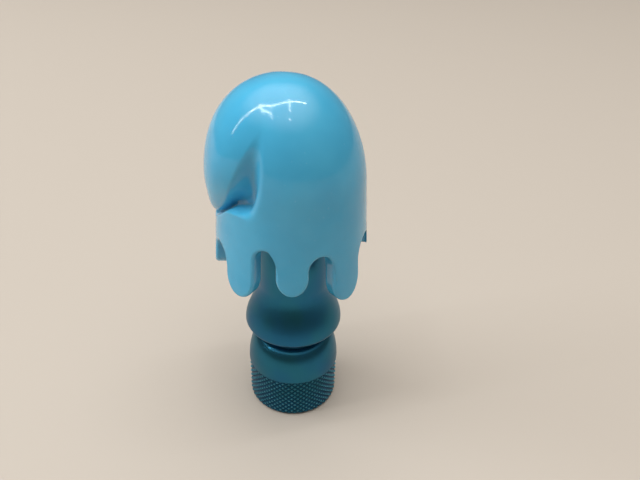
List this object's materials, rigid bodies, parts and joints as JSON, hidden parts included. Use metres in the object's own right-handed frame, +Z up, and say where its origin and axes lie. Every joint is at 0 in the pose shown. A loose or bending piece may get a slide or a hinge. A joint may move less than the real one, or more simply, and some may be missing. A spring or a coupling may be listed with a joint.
{
  "type": "art toy figurine",
  "caption": "Glossy dripping hood with a rounded brow that swivels on a lathe-turned metal handle; the knurled foot cap unscrews.",
  "frame": {"origin": "middle of the foot pad's face, on the turning axis", "axes": "+Z up along the turning axis, -Y the way the hood's brow points, +X to its left side as it faces you"},
  "size_m": [0.038, 0.039, 0.0921],
  "materials": {
    "gloss_vinyl": "smooth high gloss",
    "moulded_core": "as moulded",
    "acetal": "natural, turned",
    "rubber": "matt black",
    "steel": "stainless",
    "anodised": "satin teal anodised, lathe-turned"
  },
  "bodies": {
    "base": {"base_cap": "anodised", "foot_pad": "rubber"},
    "seat": {"seat_washer": "acetal"},
    "handle": {"handle_body": "anodised", "stud_seal": "rubber", "drag_ring": "rubber", "thrust_washer": "acetal", "retaining_washer": "steel", "pivot_screw": "steel"},
    "head": {"swivel_bush": "acetal", "head_core": "moulded_core", "head_shell": "gloss_vinyl"}
  },
  "joints": [
    {"name": "cap_thread_turn", "type": "hinge", "parent": "base", "child": "seat", "pos_m": [0, 0, 0.0041], "axis": [0, 0, 1], "range_deg": [0, 1800]},
    {"name": "cap_thread_rise", "type": "slide", "parent": "seat", "child": "handle", "axis": [0, 0, 1], "range_m": [0, 0.00625]},
    {"name": "head_swivel", "type": "hinge", "parent": "handle", "child": "head", "pos_m": [0, 0, 0.067], "axis": [0, 0, 1], "continuous": true}
  ],
  "couplings": [
    {"joint": "cap_thread_turn", "follows": "cap_thread_rise", "rad_per_m": 5026.5}
  ]
}
